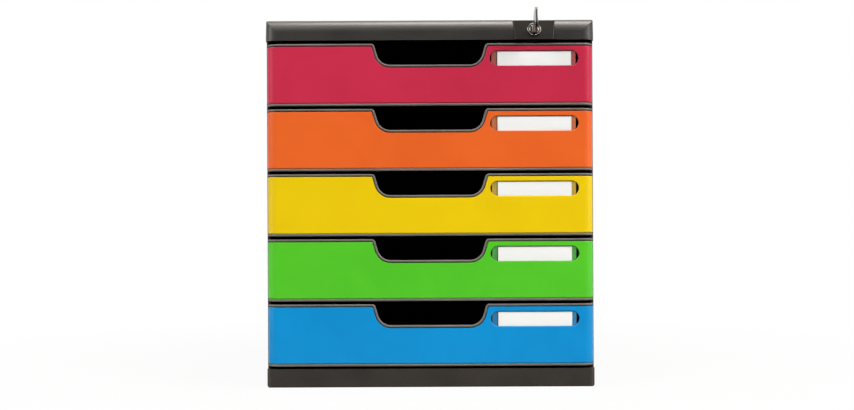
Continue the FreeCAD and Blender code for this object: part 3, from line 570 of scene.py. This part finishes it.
low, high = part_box("drawer_1_label_window")
card_low, card_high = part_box("drawer_1_label_card")
back = card_low.y - STRIP_AIR
strip = block("label_strip_1", (low.x - EYE_LEFT, low.y, low.z), (high.x + EYE_RIGHT, back, high.z))
pick(strip, "EDGE", lambda at, way: abs(way.y) > ALONG)
bpy.ops.mesh.bevel(offset=(high.z - low.z) * ROUND_SHARE, segments=14, affect="EDGES")
for way, x in ((-1, low.x), (1, high.x)):
    bpy.ops.mesh.select_all(action="SELECT")
    bpy.ops.mesh.bisect(plane_co=(x, 0, 0), plane_no=(way, 0, 0), use_fill=True, clear_outer=True)
pick(strip, "EDGE", lambda at, way: at.y < low.y + STRIP_AIR / 2)
bpy.ops.mesh.bevel(offset=STRIP_EDGE, segments=2, affect="EDGES")
bpy.ops.object.mode_set(mode="OBJECT")
print("strip", len(strip.data.polygons), "faces")

# %% [markdown]
# One strip shows three finishes: polished over the card, frosted at the grips, and a painted shadow along
# its upper edge and beside the card's left end. They could be told apart by a texture, but the borders are
# straight lines, so bisects mark them off and each face takes its finish by its place.

# %% Label strip's finishes
# The painted shadow runs this tall along the strip's top and this wide beside the card's left end.
SHADOW_BAND, SHADOW_BESIDE_CARD = 0.55 * MM, 0.6 * MM
CLEAR, FROSTED, PAINTED_SHADOW = range(3)

shadow_x, band_z = card_low.x - SHADOW_BESIDE_CARD, high.z - SHADOW_BAND
bpy.ops.object.mode_set(mode="EDIT")
for x in (shadow_x, card_low.x, card_high.x):
    bpy.ops.mesh.select_all(action="SELECT")
    bpy.ops.mesh.bisect(plane_co=(x, 0, 0), plane_no=(1, 0, 0))
bpy.ops.mesh.select_all(action="SELECT")
bpy.ops.mesh.bisect(plane_co=(0, 0, band_z), plane_no=(0, 0, 1))
bpy.ops.object.mode_set(mode="OBJECT")
for finish in (strip_clear, strip_frosted, strip_painted_shadow):
    strip.data.materials.append(finish)
for face in strip.data.polygons:
    x, z = face.center.x, face.center.z
    # Faces along the top, and beside the card's left end, take the painted shadow.
    if shadow_x < x < card_low.x or (z > band_z and x > card_low.x):
        face.material_index = PAINTED_SHADOW
    elif card_low.x < x < card_high.x:
        face.material_index = CLEAR
    else:
        face.material_index = FROSTED
soften(strip)
counts = [sum(face.material_index == kind for face in strip.data.polygons) for kind in range(3)]
print("strip faces clear, frosted and dark", counts)

# %% [markdown]
# The other four strips are copies, each with a mesh of its own, set down to its row's window.
# Every strip rides with its drawer and stands for the plain window of the CAD model.

# %% Label strips in their rows
strips = [strip]
for row in range(2, len(PANEL_TONES) + 1):
    only(strip)
    bpy.ops.object.duplicate(linked=False)
    lower = bpy.context.object
    lower.name = "label_strip_%d" % row
    lower.location.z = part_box("drawer_%d_label_window" % row)[0].z - low.z
    bpy.ops.object.transform_apply(location=True, rotation=False, scale=False)
    strips.append(lower)
for row, piece in enumerate(strips, 1):
    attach(piece, "drawer_%d" % row)
    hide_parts("drawer_%d_label_window" % row)
print("label strips", [piece.name for piece in strips])

# %% [markdown]
# The lock leans back in its block. It is modelled lying flat, with its face looking up, and is then
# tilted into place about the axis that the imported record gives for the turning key.

# %% Place of the lock
turn = next(j for j in frame["joints"] if j["name"] == "key_turn")
LOCK_AT = Vector(turn["pos_m"])
LOCK_OUT = -Vector(turn["axis"])
LOCK_LEAN = math.acos(LOCK_OUT.z)


def seat(piece):
    """Tilts a piece made flat into the lock's place."""
    piece.rotation_euler = (LOCK_LEAN, 0, 0)
    piece.location = LOCK_AT
    only(piece)
    bpy.ops.object.transform_apply(location=True, rotation=True, scale=True)


def radius_of(at):
    """Distance from the lock's axis."""
    return math.hypot(at.x, at.y)


print("the lock's face is turned", round(math.degrees(LOCK_LEAN), 1), "degrees from looking up")

# %% [markdown]
# The barrel is a turned part: a ring with a rounded edge, a groove inside it, and a long body behind the
# block. A profile could be spun round the axis, but one disc, shaped by insets and extrudes, needs no
# profile and stays closed. Its bore is opened by bridging two loops.

# %% Lock barrel
ROUND = 64
RING_R, RING_T, RING_W = 5.95 * MM, 1.2 * MM, 1.15 * MM
BARREL_R, BARREL_L = 5.25 * MM, 18.0 * MM
BORE_R = 4.05 * MM
GROOVE, RING_ROUND = 0.8 * MM, 0.25 * MM

barrel = fresh("lock_barrel_ring", "cylinder", vertices=ROUND, radius=RING_R, depth=RING_T,
               location=(0, 0, RING_T / 2))
bpy.ops.object.transform_apply(location=True, rotation=False, scale=False)
pick(barrel, "FACE", lambda at, way: way.z < -ALONG)
bpy.ops.mesh.inset(thickness=RING_R - BARREL_R)
bpy.ops.mesh.extrude_region_move(TRANSFORM_OT_translate={"value": (0, 0, -BARREL_L)})
bpy.ops.mesh.inset(thickness=BARREL_R - BORE_R)
bpy.ops.mesh.delete(type="FACE")
pick(barrel, "FACE", lambda at, way: way.z > ALONG)
bpy.ops.mesh.inset(thickness=RING_W)
bpy.ops.mesh.extrude_region_move(TRANSFORM_OT_translate={"value": (0, 0, -GROOVE)})
bpy.ops.mesh.inset(thickness=RING_R - RING_W - BORE_R)
bpy.ops.mesh.delete(type="FACE")
pick(barrel, "EDGE", lambda at, way: radius_of(at) < BORE_R + 2 * NEAR and abs(way.z) < ACROSS)
bpy.ops.mesh.bridge_edge_loops()
pick(barrel, "EDGE", lambda at, way: at.z > RING_T - NEAR and abs(way.z) < ACROSS)
bpy.ops.mesh.bevel(offset=RING_ROUND, segments=4, affect="EDGES")
bpy.ops.object.mode_set(mode="OBJECT")
barrel.data.materials.append(nickel)
seat(barrel)
soften(barrel)
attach(barrel, "case_body")
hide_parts("lock_barrel")
print("barrel", len(barrel.data.polygons), "faces")

# %% [markdown]
# The plug turns in the barrel's bore. Its face is a shallow dome with a slot for the key, and the dark
# groove round it is what makes a lock read as a lock. A bevel in many steps rounds the face, and a box
# cuts the slot.

# %% Lock plug
PLUG_R, PLUG_TOP, PLUG_TAIL = 4.0 * MM, 1.35 * MM, 18.3 * MM
PLUG_DOME = 0.4 * MM
SLOT_X, SLOT_Y, SLOT_DEEP = 0.95 * MM, 2.95 * MM, 13.0 * MM

plug = fresh("lock_plug_face", "cylinder", vertices=ROUND, radius=PLUG_R, depth=PLUG_TOP + PLUG_TAIL,
             location=(0, 0, (PLUG_TOP - PLUG_TAIL) / 2))
bpy.ops.object.transform_apply(location=True, rotation=False, scale=False)
pick(plug, "EDGE", lambda at, way: at.z > PLUG_TOP - NEAR)
bpy.ops.mesh.bevel(offset=PLUG_DOME, segments=5, affect="EDGES")
bpy.ops.object.mode_set(mode="OBJECT")
slot_box = block("slot", (-SLOT_X, -SLOT_Y, -SLOT_DEEP), (SLOT_X, SLOT_Y, 2 * PLUG_TOP))
combine(plug, slot_box, "DIFFERENCE")
plug.data.materials.append(nickel)
seat(plug)
soften(plug)
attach(plug, "turning_plug")
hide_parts("lock_plug")
print("plug", len(plug.data.polygons), "faces")

# %% [markdown]
# The key is stamped from sheet and plated. Its bow, which the fingers hold, is a square with round corners
# and a raised rim. From the front it is seen almost edge on, as a pale face and a dark edge.
# The bow is a box with bevelled corners whose two faces are inset and sunk. The neck below it is a box too,
# joined to it by a boolean so that the key stays one closed skin.

# %% Key's bow and neck
KEY_T, NECK_W, NECK_FOOT = 2.2 * MM, 6.5 * MM, 1.9 * MM
BOW_W, BOW_LOW, BOW_TOP, BOW_CORNER = 18.0 * MM, 11.5 * MM, 31.5 * MM, 4.0 * MM
BOW_RIM, BOW_SINK, BOW_EDGE = 1.5 * MM, 0.35 * MM, 0.25 * MM
NECK_EDGE = BOW_EDGE / 2

key = block("key_flat", (-KEY_T / 2, -BOW_W / 2, BOW_LOW), (KEY_T / 2, BOW_W / 2, BOW_TOP))
pick(key, "EDGE", lambda at, way: abs(way.x) > ALONG)
bpy.ops.mesh.bevel(offset=BOW_CORNER, segments=10, affect="EDGES")
pick(key, "EDGE", lambda at, way: abs(way.x) < ACROSS)
bpy.ops.mesh.bevel(offset=BOW_EDGE, segments=3, affect="EDGES")
pick(key, "FACE", lambda at, way: abs(way.x) > FLAT)
bpy.ops.mesh.inset(thickness=BOW_RIM, depth=-BOW_SINK, use_individual=True)
bpy.ops.object.mode_set(mode="OBJECT")
neck = block("neck", (-KEY_T / 2, -NECK_W / 2, NECK_FOOT), (KEY_T / 2, NECK_W / 2, BOW_LOW + BOW_RIM))
pick(neck, "EDGE", lambda at, way: abs(way.z) > ALONG or at.z < NECK_FOOT + NEAR)
bpy.ops.mesh.bevel(offset=NECK_EDGE, segments=2, affect="EDGES")
bpy.ops.object.mode_set(mode="OBJECT")
combine(key, neck, "UNION")
print("bow and neck", len(key.data.polygons), "faces")

# %% [markdown]
# The blade goes into the plug. It has a groove along each side and a row of cuts on both edges, which
# show when the key is drawn out. The groove is an inset that is sunk, and each row of cuts is an array of
# one small cutter, a cube that stands on its edge.

# %% Key's blade
BLADE_T, BLADE_W, BLADE_L = 1.5 * MM, 5.5 * MM, 12.5 * MM
BLADE_GROOVE, BLADE_SINK, BLADE_TIP = 1.7 * MM, 0.3 * MM, BLADE_T / 3
CUTS, CUT, CUT_STEP, CUTTER_REACH = 4, 1.3 * MM, 2.4 * MM, 3

blade_end = NECK_FOOT - BLADE_L
blade = block("blade", (-BLADE_T / 2, -BLADE_W / 2, blade_end),
              (BLADE_T / 2, BLADE_W / 2, NECK_FOOT + BOW_EDGE))
pick(blade, "FACE", lambda at, way: abs(way.x) > ALONG)
bpy.ops.mesh.inset(thickness=BLADE_GROOVE, depth=-BLADE_SINK, use_individual=True)
pick(blade, "EDGE", lambda at, way: at.z < blade_end + NEAR)
bpy.ops.mesh.bevel(offset=BLADE_TIP, segments=2, affect="EDGES")
bpy.ops.object.mode_set(mode="OBJECT")
for side in (-1, 1):
    cutter = fresh("cutter", "cube", size=CUT, location=(0, side * BLADE_W / 2, -CUT_STEP / 2),
                   rotation=(math.pi / 4, 0, 0))
    cutter.scale.x = CUTTER_REACH
    bpy.ops.object.transform_apply(location=True, rotation=True, scale=True)
    rows = cutter.modifiers.new("rows", "ARRAY")
    rows.count = CUTS
    rows.use_relative_offset = False
    rows.use_constant_offset = True
    rows.constant_offset_displace = (0, 0, -CUT_STEP)
    bpy.ops.object.modifier_apply(modifier=rows.name)
    combine(blade, cutter, "DIFFERENCE")
print("blade", len(blade.data.polygons), "faces, with", CUTS, "cuts on each edge")

# %% [markdown]
# The blade is joined on, and a cylinder cuts the hole for a key ring through the bow.
# The sheet's two flat faces are plated and bright. The faces round its outline are sheared edges, duller,
# and darker by painted shade for an edge that catches little light.
# The way a face points tells the two apart.

# %% Key, joined and seated
HOLE_R, HOLE_AT, HOLE_SIDES = 2.1 * MM, 26.7 * MM, 48
HOLE_DEEP = 4 * KEY_T
EDGE_TURN = 0.3

combine(key, blade, "UNION")
hole = fresh("hole", "cylinder", vertices=HOLE_SIDES, radius=HOLE_R, depth=HOLE_DEEP,
             location=(0, 0, HOLE_AT), rotation=(0, math.pi / 2, 0))
combine(key, hole, "DIFFERENCE")
# The outline faces take the darker metal, painted shade on the key's edges.
for finish in (key_steel, key_edge_painted_shade):
    key.data.materials.append(finish)
for face in key.data.polygons:
    face.material_index = int(abs(face.normal.x) < EDGE_TURN)
seat(key)
soften(key)
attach(key, "lock_key")
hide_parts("key")
print("key", len(key.data.polygons), "faces")
